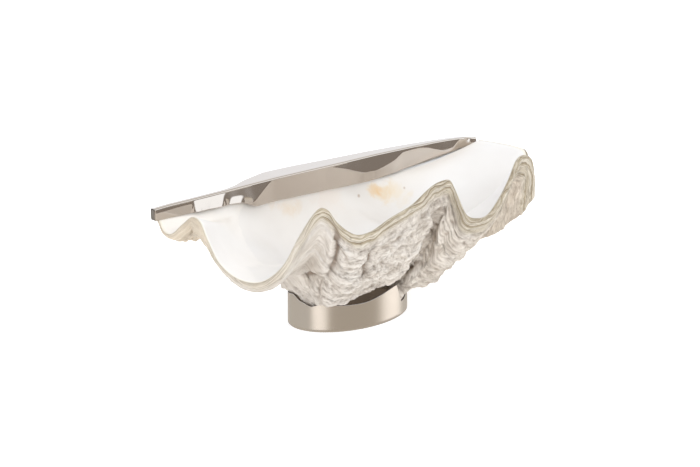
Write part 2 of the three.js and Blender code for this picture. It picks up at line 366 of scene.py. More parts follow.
# folds of the margin as they reach each row: sharp at the edge, broader towards the hinge
def bends(runs, shifts, marks):
    weight = np.gradient(runs)
    made = []
    for mark in marks:
        wide = valve["ribs"]["soften"] * (1 - mark)
        if wide < 1:
            made.append(shifts)
            continue
        near = np.exp(-(((runs[:, None] - runs[None, :]) / wide) ** 2)) * weight[None, :]
        made.append(near @ shifts / near.sum(1, keepdims=True))
    return np.stack(made, 1)


# directions into the bowl; the hinge edge is cut square
def gridNormals(grid):
    normals = unit(np.cross(np.gradient(grid, axis=1), np.gradient(grid, axis=0)))
    square = np.array([0.0, -1.0, 0.0])
    normals[:, 0] = square
    normals[0] = square
    normals[-1] = square
    return normals


def ledgeAt(marks):
    ledges = valve["ledges"]
    tall = np.zeros_like(marks)
    start = ledges["start"]
    for edge in ledges["edges"]:
        part = np.clip((marks - start) / (edge - ledges["lip"] - start), 0, 1)
        tall = np.where((marks >= start) & (marks < edge), ledges["tall"] * part, tall)
        start = edge
    return tall


def wallGrid(bowl, marks):
    hinge = valve["hinge"]
    away = np.hypot(hinge["y"] - bowl[..., 1], hinge["z"] - bowl[..., 2]) / hinge["blend"]
    near = np.exp(-(away**2))
    atHinge = along(cap["folds"], 3, bowl[..., 0]) - cap["slack"]
    plain = along(valve["wall"], 1, marks)[None, :]
    return mix(plain, atHinge, near) + ledgeAt(marks)[None, :] * (1 - near)


def swellGrid(runs, marks):
    total = np.zeros((len(runs), len(marks)))
    for place, level, wide, long, tall in valve["swells"]:
        aside = (runs[:, None] - place) / wide
        beyond = (marks[None, :] - level) / long
        total += tall * np.exp(-(aside**2) - beyond**2)
    return total


def insideGrid(runs, shifts, marks):
    share = marks ** valve["ribs"]["inside"]
    return bowlGrid(runs, marks) + bends(runs, shifts, marks) * share[None, :, None]


def outsideGrid(runs, shifts, marks):
    ribs = valve["ribs"]
    bowl = bowlGrid(runs, marks)
    bend = bends(runs, shifts, marks)
    inside = bowl + bend * (marks ** ribs["inside"])[None, :, None]
    power = mix(ribs["outside"], ribs["groove"], smooth(0.5 + bend[..., 2] / ribs["turn"]))
    inward = unit(gridNormals(bowl) + gridNormals(inside))
    thick = wallGrid(bowl, marks) + swellGrid(runs, marks)
    return bowl + bend * (marks[None, :] ** power)[..., None] - inward * thick[..., None]


relief = {
    # run, share of the way to the margin, half width, half length, height
    "dents": [
        (305, 0.86, 10, 0.06, 4), (303, 0.74, 9, 0.04, 5), (365, 0.917, 16, 0.04, 3),
        (405, 0.9, 14, 0.05, 4), (424, 0.885, 6, 0.05, 5), (436, 0.925, 6, 0.022, 6),
        (448, 0.912, 5, 0.03, -7), (476, 0.935, 8, 0.025, -5), (492, 0.9, 3.5, 0.05, 8),
        (478, 0.845, 6, 0.05, -3), (486, 0.79, 4, 0.04, -5), (385, 0.8, 18, 0.04, 6),
        (490, 0.725, 4, 0.025, 6), (487, 0.66, 7, 0.02, 7), (498, 0.68, 5, 0.025, 4),
        (503, 0.62, 6, 0.022, 14), (655, 0.93, 12, 0.03, -5), (440, 0.73, 30, 0.05, 12),
    ],
    "dentWander": {"size": 9, "aside": 3, "beyond": 0.012, "seeds": (50, 60)},
    # widths on its two sides, then run, share of the way to the margin and depth along a crease
    "creases": [
        (2.2, 13, [(270, 0.99, 1), (281, 0.976, 4), (284, 0.951, 8), (286, 0.922, 9), (288, 0.879, 8),
                   (289, 0.825, 5)]),
        (10, 2.5, [(272, 0.72, 4), (277, 0.752, 9), (283, 0.777, 11), (288, 0.791, 8)]),
        (4, 2.5, [(289, 0.825, 3), (290, 0.762, 5), (297, 0.723, 4)]),
        (12, 2.5, [(338, 0.951, 3), (332, 0.927, 8), (330, 0.898, 9), (338, 0.854, 5)]),
        (3, 6, [(489, 0.752, 5), (479, 0.709, 9), (481, 0.675, 6), (493, 0.646, 5), (495, 0.617, 4)]),
        (3, 7, [(400, 0.955, 2), (395, 0.925, 3), (398, 0.89, 2)]),
        (9, 9, [(478, 0.925, -5), (486, 0.905, -12), (492, 0.886, -14), (495, 0.85, -10), (497, 0.81, -5)]),
        (7, 3, [(352, 0.9, 1), (362, 0.865, 4), (378, 0.845, 3), (395, 0.86, 1)]),
    ],
    "creaseShake": {"size": 7, "by": 1.6, "seed": 44},
    "markLength": 300,  # about how long the outside is from the hinge to the margin
    # seed, size, height
    "lumps": ((31, 40, 2.0), (36, 19, 1.6)),
    # seed, size, stretch along the margin, height
    "puckers": ((13, 14, 1.4, 6.5), (14, 7, 1.4, 4.0), (15, 4, 1.4, 2.0)),
    "puckerMean": 0.25,
    # seed, narrowest and widest layer, height
    "tiles": ((3, 4.0, 7.0, 0.9), (4, 11.0, 22.0, 1.5)),
    "tileRange": (-40.0, 480.0),
    "tileHeight": (0.3, 1.0),
    "tileRise": 0.22,
    # how far the layers stand out on smooth and on rough shell, and how evenly
    "patches": {"smooth": 0.75, "rough": 0.4, "even": 0.6, "uneven": 0.4, "size": 38, "seed": 71},
    # seed, size, distance that the growth lines wander
    "warp": ((7, 34, 6.0), (8, 11, 1.8)),
    "threads": {"spacing": 6.4, "height": 0.3, "sway": 2, "size": 26, "seed": 90},
    # run, share of the outside's roughness there
    "crinkle": [
        (0, 0.8), (60, 1.2), (105, 0.5), (130, 0.3), (220, 0.2), (274, 0.15), (290, 1), (500, 1),
        (540, 0.6), (600, 0.5), (923, 0.5),
    ],
    "lip": {"band": 26, "start": 0.3, "rough": 0.35},  # calmer strip along the margin
    # painted shade in the relief's hollows, deep spots and creases, where less light falls
    "hollowShade": {"reach": 3, "hollow": 1.9, "share": 0.6, "deep": 10, "start": 0.2, "sharp": 2.2, "crease": 9},
    "fade": {"margin": 6, "hinge": 0.12, "ends": 30},  # where the relief dies out
}


def growthFrom(grid):
    step = np.linalg.norm(np.diff(grid, axis=1), axis=2)
    back = np.cumsum(step[:, ::-1], axis=1)[:, ::-1]
    return np.concatenate([back, np.zeros((len(grid), 1))], 1)


# growth layers like roof tiles, highest at each layer's free edge
def tiles(growth, seed, narrow, wide):
    draw = random.Random(seed)
    first, last = relief["tileRange"]
    edges = [first]
    while edges[-1] < last:
        edges.append(edges[-1] + draw.uniform(narrow, wide))
    height = np.array([draw.uniform(*relief["tileHeight"]) for _ in edges])
    edges = np.array(edges)
    index = np.clip(np.searchsorted(edges, growth) - 1, 0, len(edges) - 2)
    part = (growth - edges[index]) / (edges[index + 1] - edges[index])
    return height[index] * (1 - part) * smooth(part / relief["tileRise"])


# how near each place lies to a crease, from 1 in it to 0 away from it, and the crease's depth there
def creaseGrid(grid, runs, marks, crease):
    before, after, line = crease
    long = relief["markLength"]
    flat = np.stack(np.broadcast_arrays(runs[:, None], long * marks[None, :]), -1)
    stops = [grid[np.argmin(abs(runs - run)), np.argmin(abs(marks - mark))] for run, mark, _ in line]
    nearest = np.full(grid.shape[:2], np.inf)
    share, depth = np.zeros_like(nearest), np.zeros_like(nearest)
    for index in range(len(line) - 1):
        start, way = stops[index], stops[index + 1] - stops[index]
        part = np.clip((grid - start) @ way / (way @ way), 0, 1)
        away = np.linalg.norm(grid - start - part[..., None] * way, axis=-1)
        first, second = (np.array([run, long * mark]) for run, mark, _ in line[index:index + 2])
        onward, aside = second - first, flat - first
        side = onward[0] * aside[..., 1] - onward[1] * aside[..., 0]
        closer = away < nearest
        nearest = np.where(closer, away, nearest)
        share = np.where(closer, np.exp(-((away / np.where(side > 0, after, before)) ** 2)), share)
        depth = np.where(closer, mix(line[index][2], line[index + 1][2], part), depth)
    return share, depth


# each height evened out with those around it
def softened(grid, reach):
    padded = np.pad(grid, reach, mode="edge")
    count, long = grid.shape
    spread = range(2 * reach + 1)
    return sum(padded[i:i + count, j:j + long] for i in spread for j in spread) / len(spread) ** 2


# outside of the valve with its relief, the growth lines and how much painted shade each place gets in its
# hollows and creases
def carveOutside(grid, runs, marks):
    outward = -gridNormals(grid)
    growth = growthFrom(grid)
    bent = growth.copy()
    for seed, size, tall in relief["warp"]:
        bent += tall * roughness(grid, size, seed)
    lip = relief["lip"]
    calm = mix(lip["rough"], 1, smooth(growth / lip["band"] - lip["start"]))
    coarse = along(relief["crinkle"], 1, runs)[:, None] * calm
    height = np.zeros_like(growth)
    for seed, size, tall in relief["lumps"]:
        height += coarse * tall * roughness(grid, size, seed)
    for seed, size, stretch, tall in relief["puckers"]:
        places = np.stack([runs[:, None] / stretch + 0 * bent, bent, 0 * bent], -1)
        height += coarse * tall * (np.abs(roughness(places, size, seed)) - relief["puckerMean"])
    patch = relief["patches"]
    uneven = patch["even"] + patch["uneven"] * roughness(grid, patch["size"], patch["seed"])
    shown = mix(patch["smooth"], patch["rough"], coarse) * uneven
    for seed, narrow, wide, tall in relief["tiles"]:
        height += tall * shown * tiles(bent, seed, narrow, wide)
    thread = relief["threads"]
    sway = thread["sway"] * roughness(grid, thread["size"], thread["seed"])
    height += thread["height"] * coarse * np.sin(2 * math.pi * runs[:, None] / thread["spacing"] + sway)
    wander = relief["dentWander"]
    wavyRuns = runs[:, None] + wander["aside"] * roughness(grid, wander["size"], wander["seeds"][0])
    wavyMarks = marks[None, :] + wander["beyond"] * roughness(grid, wander["size"], wander["seeds"][1])
    for place, level, wide, long, tall in relief["dents"]:
        aside = (wavyRuns - place) / wide
        beyond = (wavyMarks - level) / long
        height += tall * np.exp(-(aside**2) - beyond**2)
    # painted shade: darker in hollows, in deep spots and along creases
    hollowShade = relief["hollowShade"]
    hollow = smooth((softened(height, hollowShade["reach"]) - height) / hollowShade["hollow"])
    paintedShade = np.maximum(hollowShade["share"] * hollow, smooth(-height / hollowShade["deep"] - hollowShade["start"]))
    shake = relief["creaseShake"]
    shaken = grid + shake["by"] * roughness(grid, shake["size"], shake["seed"])[..., None]
    for crease in relief["creases"]:
        share, depth = creaseGrid(shaken, runs, marks, crease)
        height -= depth * share
        core = smooth(1 - hollowShade["sharp"] * (1 - share))
        paintedShade = np.maximum(paintedShade, core * smooth(depth / hollowShade["crease"]))
    fade = relief["fade"]
    kept = smooth(growth / fade["margin"]) * smooth(marks / fade["hinge"])[None, :]
    kept = kept * smooth(np.minimum(runs, fullRun - runs) / fade["ends"])[:, None]
    return grid + outward * (height * kept)[..., None], bent, paintedShade * kept


# triangles between two lines of points, however many each has
def zipFaces(first, second):
    faces = []
    i = j = 0
    while i < len(first) - 1 or j < len(second) - 1:
        ahead = (i + 1) / (len(first) - 1) <= (j + 1) / (len(second) - 1)
        if j == len(second) - 1 or (ahead and i < len(first) - 1):
            faces.append((first[i], second[j], first[i + 1]))
            i += 1
        else:
            faces.append((first[i], second[j], second[j + 1]))
            j += 1
    return faces


# faces that close both ends of a sheet folded over at the turn
def endFaces(spots, turn):
    faces = []
    for end, flip in ((0, False), (-1, True)):
        line = spots[end].tolist()
        for face in zipFaces(line[:turn], line[turn:][::-1]):
            faces.append(face[::-1] if flip else face)
    return faces


def makeShell():
    runs, shifts = marginColumns()
    start = valve["frontStart"]
    backMarks = np.linspace(0, start, valve["backRows"], endpoint=False)
    outsideMarks = np.concatenate([backMarks, np.linspace(start, 1, valve["frontRows"])])
    inside = insideGrid(runs, shifts, np.linspace(0, 1, valve["insideRows"]))
    outside, growth, depth = carveOutside(outsideGrid(runs, shifts, outsideMarks), runs, outsideMarks)
    # rounded lip between the two edges
    ahead = unit(inside[:, -1] - inside[:, -2])
    part = np.linspace(0, 1, valve["lipRows"] + 2)[1:-1]
    lip = mix(inside[:, -1:], outside[:, -1:], part[None, :, None])
    lip = lip + ahead[:, None] * (valve["lipBulge"] * np.sin(math.pi * part))[None, :, None]
    # one sheet from the hinge over the margin and back to the hinge
    sheet = np.concatenate([inside, lip, outside[:, ::-1]], 1)
    count, long = sheet.shape[:2]
    spots = np.arange(count * long).reshape(count, long)
    faces = gridFaces(spots, False)
    joined = np.stack([spots[:-1, -1], spots[:-1, 0], spots[1:, 0], spots[1:, -1]], -1)
    faces += joined.tolist()
    faces += endFaces(spots, inside.shape[1] + valve["lipRows"])
    rows = [inside.shape[1], valve["lipRows"], outside.shape[1]]
    lipZero = np.zeros((count, rows[1]))
    thick = np.linalg.norm(inside[:, -1] - outside[:, -1], axis=1)
    lipGrowth = growth[:, -1:] - thick[:, None] * (1 - part)[None, :]
    values = {
        "inside": np.tile(np.repeat([1.0, 0.5, 0.0], rows), count),
        "growth": np.concatenate([growthFrom(inside), lipGrowth, growth[:, ::-1]], 1).ravel(),
        # the outside's painted shade in its hollows and creases
        "depth": np.concatenate([np.zeros(inside.shape[:2]), lipZero, depth[:, ::-1]], 1).ravel(),
        "run": np.repeat(runs, long),
    }
    piece = makePiece("clamShell", sheet.reshape(-1, 3), faces, values)
    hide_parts("shell")
    return piece


shellColour = {
    "porcelain": ((0.3, (0.79, 0.755, 0.715)), (0.7, (0.85, 0.82, 0.785))),
    "chalk": ((0.3, (0.48, 0.415, 0.345)), (0.5, (0.72, 0.655, 0.58)), (0.72, (0.86, 0.815, 0.755))),
    "layers": (
        (0.05, (0.18, 0.125, 0.065)), (0.3, (0.38, 0.305, 0.2)), (0.55, (0.59, 0.51, 0.39)),
        (0.85, (0.76, 0.7, 0.6)),
    ),
    "layerWidth": 2.6,
    "layerDrift": 9.0,
    "layerTone": {"base": 0.36, "spread": 0.4, "edge": 0.55, "edgeWidth": 0.45},
    "layerBreaks": (0.38, 0.62),
    "layerFade": (9.0, 3.0),
    # run where the layers are still plain, run where they are palest, how pale
    "paler": ((262.0, 230.0, 0.4), (120.0, 100.0, 0.35)),
    # share of the margin's length, then tint of the outside or reach of its layers
    "tints": (
        (0.0, (1.0, 0.93, 0.82)), (0.11, (1.0, 0.93, 0.82)), (0.14, (1.0, 0.985, 0.96)),
        (0.3, (1.0, 1.0, 1.0)), (0.55, (1.0, 0.985, 0.96)), (0.62, (0.94, 0.895, 0.835)),
        (0.75, (0.89, 0.84, 0.765)),
    ),
    "reaches": ((0.0, 0.5), (0.12, 0.4), (0.25, 0.25), (0.45, 0.22), (0.52, 0.4), (0.6, 0.45), (0.7, 0.7)),
    "fullReach": 42.0,
    # along the margin, across the growth lines, layer of the noise, detail, roughness, warp
    "streaks": {
        "lines": (0.02, 0.28, 0.0, 5.0, 0.62, 0.4),
        "drift": (0.02, 0.03, 3.0, 3.0, 0.55, 0.0),
        "broken": (0.035, 0.12, 5.0, 3.0, 0.55, 0.0),
        "cracks": (0.055, 0.17, 7.0, 5.0, 0.6, 0.9),
        "wrinkles": (0.16, 0.5, 0.0, 6.0, 0.66, 0.8),
    },
    # scale, detail, roughness, warp
    "grains": {
        "cloud": (26.0, 4.0),
        "patches": (14.0, 2.0),
        "porcelain": (9.0, 3.0),
        "wander": (60.0, 3.0),
        "spread": (34.0, 5.0, 0.65, 0.6),
        "pits": (420.0, 3.0),
    },
    "nearHinge": {"colour": (1.0, 0.97, 0.925), "band": (0.05, 0.1)},
    "lip": {"colour": (0.8, 0.74, 0.6), "band": (5.0, 0.5), "share": 0.7},
    # colour of the painted shade in the outside's hollows and creases
    "hollowShade": {"colour": (0.22, 0.15, 0.1), "share": 0.85},
    # share of the cracks all over, and how much more of them from the wrinkled folds on
    "crack": {
        "colour": (0.5, 0.4, 0.3), "width": 0.0007, "share": 0.1, "more": 0.22, "from": (280.0, 300.0),
    },
    # pale beyond a sphere, up to a slanted line
    "greyPatch": {
        "colour": (0.93, 0.935, 0.945), "centre": (-0.1405, 0.007, 0.2256), "radius": 0.1229, "edge": 0.0012,
        "wander": 0.006, "slant": 0.5, "line": (-0.192, -0.177),
    },
    "insideEdge": (0.6, 0.95),
    "rough": {"outside": 0.74, "inside": 0.32},
    "coat": {"weight": 0.25, "rough": 0.2},
    "bump": {"wrinkles": 0.75, "pits": 0.25, "cracks": 0.6, "strength": 0.9, "distance": 0.003},
    "stainEdge": {"outer": 1.3, "inner": 0.3, "spread": 3.0},
    # centre, reach, colour
    "stains": [
        ((0.138, 0.094, 0.137), 0.012, (0.99, 0.83, 0.62)),
        ((0.150, 0.090, 0.132), 0.017, (0.99, 0.9, 0.76)),
        ((0.168, 0.084, 0.125), 0.022, (0.995, 0.94, 0.84)),
        ((0.110, 0.099, 0.131), 0.0026, (0.7, 0.6, 0.52)),
        ((0.185, 0.081, 0.1325), 0.0026, (0.66, 0.55, 0.46)),
        ((-0.052, 0.1035, 0.149), 0.009, (0.985, 0.95, 0.905)),
        ((-0.04, 0.102, 0.144), 0.009, (0.985, 0.95, 0.905)),
        ((-0.03, 0.101, 0.139), 0.009, (0.985, 0.95, 0.905)),
        ((-0.018, 0.1005, 0.137), 0.009, (0.985, 0.95, 0.905)),
        ((-0.005, 0.1, 0.136), 0.009, (0.985, 0.95, 0.905)),
        ((-0.022, 0.101, 0.145), 0.02, (0.99, 0.96, 0.92)),
        ((0.05, 0.101, 0.145), 0.034, (1.0, 0.965, 0.935)),
    ],
}


def shellMaterial():
    paint = Paint(bpy.data.materials.new("clamShellFinish"))
    where = paint.place()
    inside, growth, run = paint.value("inside"), paint.value("growth"), paint.value("run")
    # painted shade of the outside's hollows and creases
    depth = paint.value("depth")

    # noise drawn out along the growth lines
    def streaks(name):
        aside, across, layer, *grain = shellColour["streaks"][name]
        return paint.grain(paint.vector(run * aside, growth * across, layer), 1.0, *grain)

    def grains(name):
        return paint.grain(where, *shellColour["grains"][name])

    # chalk outside
    share = run / fullRun
    chalk = paint.ramp(streaks("lines") * 0.5 + grains("cloud") * 0.5, shellColour["chalk"])
    chalk = paint.tint(1.0, chalk, paint.ramp(share, shellColour["tints"]))
    # growth layers near the margin
    level = (growth + streaks("drift") * shellColour["layerDrift"]) / shellColour["layerWidth"]
    part = paint.node("ShaderNodeMath", {"operation": "FRACT"}, {0: level})
    dice = paint.node("ShaderNodeTexWhiteNoise", {"noise_dimensions": "1D"}, {"W": level - part})
    tone = shellColour["layerTone"]
    unbroken = paint.step(streaks("broken"), *shellColour["layerBreaks"])
    edge = paint.step(part, tone["edgeWidth"], 0.0) * unbroken
    band = dice * tone["spread"] + tone["base"] - edge * tone["edge"]
    pale = sum(paint.step(run, first, last) * most for first, last, most in shellColour["paler"])
    layered = paint.blend(pale, paint.ramp(band, shellColour["layers"]), chalk)
    layerReach = (grains("patches") + 0.5) * paint.levels(share, shellColour["reaches"])
    layerReach = layerReach * shellColour["fullReach"]
    beyond, within = shellColour["layerFade"]
    isLayered = paint.step(growth, layerReach + beyond, layerReach - within)
    outsideColour = paint.blend(isLayered, chalk, layered)
    # painted shade in the hollows and creases, and fine cracks
    hollowShade, crack = shellColour["hollowShade"], shellColour["crack"]
    outsideColour = paint.blend(depth * hollowShade["share"], outsideColour, hollowShade["colour"])
    fromLine = streaks("cracks") - 0.5
    cracks = paint.step(run, *crack["from"]) * crack["more"] + crack["share"]
    cracks = paint.step(fromLine * fromLine, crack["width"], 0.0) * cracks
    outsideColour = paint.tint(cracks, outsideColour, crack["colour"])
    # porcelain inside, with a greyer patch, stains and lip
    colour = paint.ramp(grains("porcelain"), shellColour["porcelain"])
    long = paint.node("ShaderNodeSeparateXYZ", {}, {0: where}, "X")
    across = paint.node("ShaderNodeSeparateXYZ", {}, {0: where}, "Y")
    hinge = shellColour["nearHinge"]
    colour = paint.tint(paint.step(across, *hinge["band"]), colour, hinge["colour"])
    greyPatch = shellColour["greyPatch"]
    away = paint.distance(where, greyPatch["centre"]) + (grains("wander") - 0.5) * greyPatch["wander"]
    isGreyPatch = paint.step(away, greyPatch["radius"] - greyPatch["edge"], greyPatch["radius"] + greyPatch["edge"])
    isGreyPatch = isGreyPatch * paint.step(long - across * greyPatch["slant"], *greyPatch["line"])
    colour = paint.tint(isGreyPatch, colour, greyPatch["colour"])
    fringe = shellColour["stainEdge"]
    spread = grains("spread") - 0.5
    for centre, reach, stain in shellColour["stains"]:
        away = paint.distance(where, centre) + spread * reach * fringe["spread"]
        isStain = paint.step(away, reach * fringe["outer"], reach * fringe["inner"])
        colour = paint.tint(isStain, colour, stain)
    lip = shellColour["lip"]
    colour = paint.blend(paint.step(growth, *lip["band"]) * lip["share"], colour, lip["colour"])
    # both sides together
    rough, coat, bump = shellColour["rough"], shellColour["coat"], shellColour["bump"]
    isInside = paint.step(inside, *shellColour["insideEdge"])
    height = streaks("wrinkles") * bump["wrinkles"] + grains("pits") * bump["pits"] - cracks * bump["cracks"]
    paint.surface({
        "Base Color": paint.blend(isInside, outsideColour, colour),
        "Roughness": rough["outside"] - isInside * (rough["outside"] - rough["inside"]),
        "Normal": paint.bump((1 - isInside) * height, bump["strength"], bump["distance"]),
        "Coat Weight": isInside * coat["weight"],
        "Coat Roughness": coat["rough"],
    })
    return paint.owner


shell = makeShell()
shell.data.materials.append(shellMaterial())
print("shell made", len(shell.data.polygons), "faces")

capShape = {
    "columns": 360,
    "bend": 2.4,
    # place along X, tilt in degrees of the lower and upper part of the front face
    "tilt": [
        (-259, 5, 11), (-199, 6, 11), (-196, 11, 12), (-193, 12, 12), (-191, 20, 20), (-186, 21, 21),
        (-183, 18, 20), (-164, 17.5, 20), (-160, 21, 21), (-147, 21, 21), (-143, 15, 15),
        (-131, 14, 15), (-127, 20, 15), (-113, 20, 15), (-108, 15, 15), (-100, 15, 15), (-95, 0, 15),
        (-56, 0, 15), (-50, 0, 0), (46, 0, 0), (56, 0, 15), (110, 0, 15), (150, 0, 13), (200, 0, 12),
        (250, 0, 13), (278, 0, 15.5), (318, 0, 15.5), (321, 0, 3), (334, 0, 3), (342, 16, 8),
        (356, 6, 18),
    ],
    # place along X, share of the height where the upper part starts
    "split": [
        (-259, 0.72), (-199, 0.72), (-190, 0.8), (-146, 0.8), (-140, 0.55), (-106, 0.5), (-100, 0.05),
        (-56, 0.98), (50, 0.98), (84, 0.72), (103, 0.52), (117, 0.435), (143, 0.425), (163, 0.525),
        (184, 0.64), (200, 0.9), (236, 0.9), (252, 0.78), (278, 0.32), (291, 0.15), (303, 0.21),
        (310, 0.55), (318, 1),
    ],
    "splitBand": 0.16,
    # place along X, slant of the facets
    "slant": [(-175, 0), (-165, 0.65), (-112, 0.65), (-98, 0)],
    "slantFrom": 8,
    # size, height, seed
    "waves": {"slant": (14, 1.5, 5), "split": (40, 0.04, 8), "tilt": (26, 0.8, 3), "worn": (7, 0.9, 12)},
    "worn": {"start": 318, "band": 12},  # crumpled right end
    # reach over which the edges and facets are eased
    "ease": {"top": 7, "low": 4, "tilt": 2, "split": 5},
    "rows": {"front": 26, "bend": 8, "top": 9, "back": 5},
    "endInset": {"side": 0.4, "top": 0.6},
    "finish": {"colour": (0.6, 0.53, 0.46), "rough": 0.03, "smearing": 0.05},
}


# value between the rows of a table, with its corners rounded off
def easedAlong(table, column, places, wide):
    beside = np.linspace(-1.5, 1.5, 9)
    weights = np.exp(-(beside**2))
    looks = [along(table, column, places + wide * step) for step in beside]
    return np.tensordot(weights / weights.sum(), np.array(looks), 1)


# folded sheet over the hinge, its front face slightly wavy from the hand that bent it
def makeCap():
    ease, rows, bend, front = capShape["ease"], capShape["rows"], capShape["bend"], cap["front"]
    x = np.linspace(cap["folds"][0][0], cap["folds"][-1][0], capShape["columns"])
    top = easedAlong(cap["folds"], 1, x, ease["top"])
    low = easedAlong(cap["folds"], 2, x, ease["low"])
    back = front + easedAlong(cap["folds"], 3, x, ease["top"])
    levels = np.linspace(0, 1, rows["front"])
    rise = (top - low - bend)[:, None] * levels[None, :]

    def strip(y, z):
        return np.stack(np.broadcast_arrays(x[:, None], y, z), -1)

    def wave(name):
        size, tall, seed = capShape["waves"][name]
        return tall * roughness(strip(0 * rise, rise), size, seed)

    # facets of the front face
    slant = along(capShape["slant"], 1, x)[:, None]
    looked = x[:, None] - slant * (rise - capShape["slantFrom"]) + wave("slant")
    lower, upper = (easedAlong(capShape["tilt"], column, looked, ease["tilt"]) for column in (1, 2))
    split = easedAlong(capShape["split"], 1, x, ease["split"])[:, None] + wave("split")
    share = smooth((levels[None, :] - split) / capShape["splitBand"] + 0.5)
    tilt = np.radians(mix(lower, upper, share) + wave("tilt"))
    lean = np.concatenate([0 * x[:, None], np.cumsum(np.diff(rise, axis=1) * np.tan(tilt[:, 1:]), 1)], 1)
    lean -= lean[:, -1:]
    worn = capShape["worn"]
    lean += smooth((x - worn["start"]) / worn["band"])[:, None] * wave("worn")
    # round the sheet from the front's lower edge to the flange behind
    corner = np.linspace(0, math.pi / 2, rows["bend"])[1:][None, :]
    steps = np.linspace(0, 1, rows["top"])[1:][None, :]
    drop = np.linspace(0, 1, rows["back"])[1:][None, :]
    shoulder, heel = (top - bend)[:, None], (back - bend)[:, None]
    outer = np.concatenate([
        strip(front + lean, low[:, None] + rise),
        strip(front + bend * (1 - np.cos(corner)), shoulder + bend * np.sin(corner)),
        strip(mix(front + bend, heel, steps), top[:, None]),
        strip(heel + bend * np.sin(corner), shoulder + bend * np.cos(corner)),
        strip(back[:, None], shoulder - (cap["back"] - bend) * drop),
    ], 1)
    inward = unit(np.cross(np.array([1.0, 0, 0]), np.gradient(outer, axis=1)))
    inner = outer - cap["sheet"] * inward
    sheet = np.concatenate([outer, inner[:, ::-1]], 1)
    count, long = sheet.shape[:2]
    spots = np.arange(count * long).reshape(count, long)
    faces = gridFaces(spots, True)
    faces += np.stack([spots[:-1, -1], spots[1:, -1], spots[1:, 0], spots[:-1, 0]], -1).tolist()
    faces += endFaces(spots, outer.shape[1])
    # a plate that closes each end
    points = sheet.reshape(-1, 3)
    inset = capShape["endInset"]
    for place, side in ((0, 1), (-1, -1)):
        near, far = front + inset["side"], back[place] - inset["side"]
        bottom, height = low[place], top[place] - inset["top"]
        outline = ((near, bottom), (far, bottom), (far, height), (near, height))
        first = len(points)
        for across in (x[place], x[place] + side * cap["sheet"]):
            points = np.vstack([points, [(across, y, z) for y, z in outline]])
        for plate in [(0, 1, 2, 3), (7, 6, 5, 4), (0, 4, 5, 1), (1, 5, 6, 2), (2, 6, 7, 3), (3, 7, 4, 0)]:
            plate = tuple(first + spot for spot in plate)
            faces.append(plate if side < 0 else plate[::-1])
    darkEdge = np.zeros(len(points))
    darkEdge[count * long:] = 1
    piece = makePiece("hingeCap", points, faces, {"darkEdge": darkEdge})
    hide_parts("hinge_cap")
    return piece


metal = {
    "smear": {"scale": 40.0, "detail": 5.0, "rough": 0.6},
    "glow": (0.055, 0.044, 0.035),  # painted light: a faint glow on the collar's inner faces, standing in for light bounced inside it
    # darker, duller edges: along the collar's rim top a painted shadow line under the valve, and the cap's
    # end plates
    "darkEdge": {"colour": (0.16, 0.135, 0.11), "rough": 0.5},
}


def metalMaterial(name, colour, rough, smearing):
    paint = Paint(bpy.data.materials.new(name))
    smear = paint.grain(paint.place(), **metal["smear"])
    # painted light: the collar's hidden inner faces glow faintly
    glow = paint.blend(paint.value("hidden"), (0.0, 0.0, 0.0), metal["glow"])
    # painted shadow line along the collar's rim top, and the cap's darker ends
    dull = paint.value("darkEdge")
    dulled = paint.blend(dull, colour, metal["darkEdge"]["colour"])
    worn = rough + smear * smearing + dull * metal["darkEdge"]["rough"]
    sockets = {"Emission Color": glow, "Emission Strength": 1.0, "Metallic": 1 - dull}
    paint.surface({"Base Color": dulled, "Roughness": worn, **sockets})
    return paint.owner


hingeCap = makeCap()
hingeCap.data.materials.append(metalMaterial("polishedNickel", **capShape["finish"]))
print("cap made", len(hingeCap.data.polygons), "faces")

collar = {
    "half": 97,  # half of its length
    "side": 66,  # half of its width
    "wall": 2.6,
    "floor": 3,
    "chamfer": 0.8,
    "edge": 0.25,  # bevel of the rim
    "sides": 360,
    "ease": 4,  # sides to the left and right over which the rim is evened out
    "gap": 0.5,  # from the rim to the valve
    "lookFrom": 6.0,  # height from which the valve is looked for
    "rows": 12,
    "finish": {"colour": (0.66, 0.61, 0.55), "rough": 0.2, "smearing": 0.1},
    # angle in degrees, height
    "rim": [
        (0, 50), (90, 51), (160, 56), (187, 56), (203, 48), (220, 41.5), (240, 38), (252, 38), (266, 42.5),
        (281, 48), (300, 51), (360, 50),
    ],
}


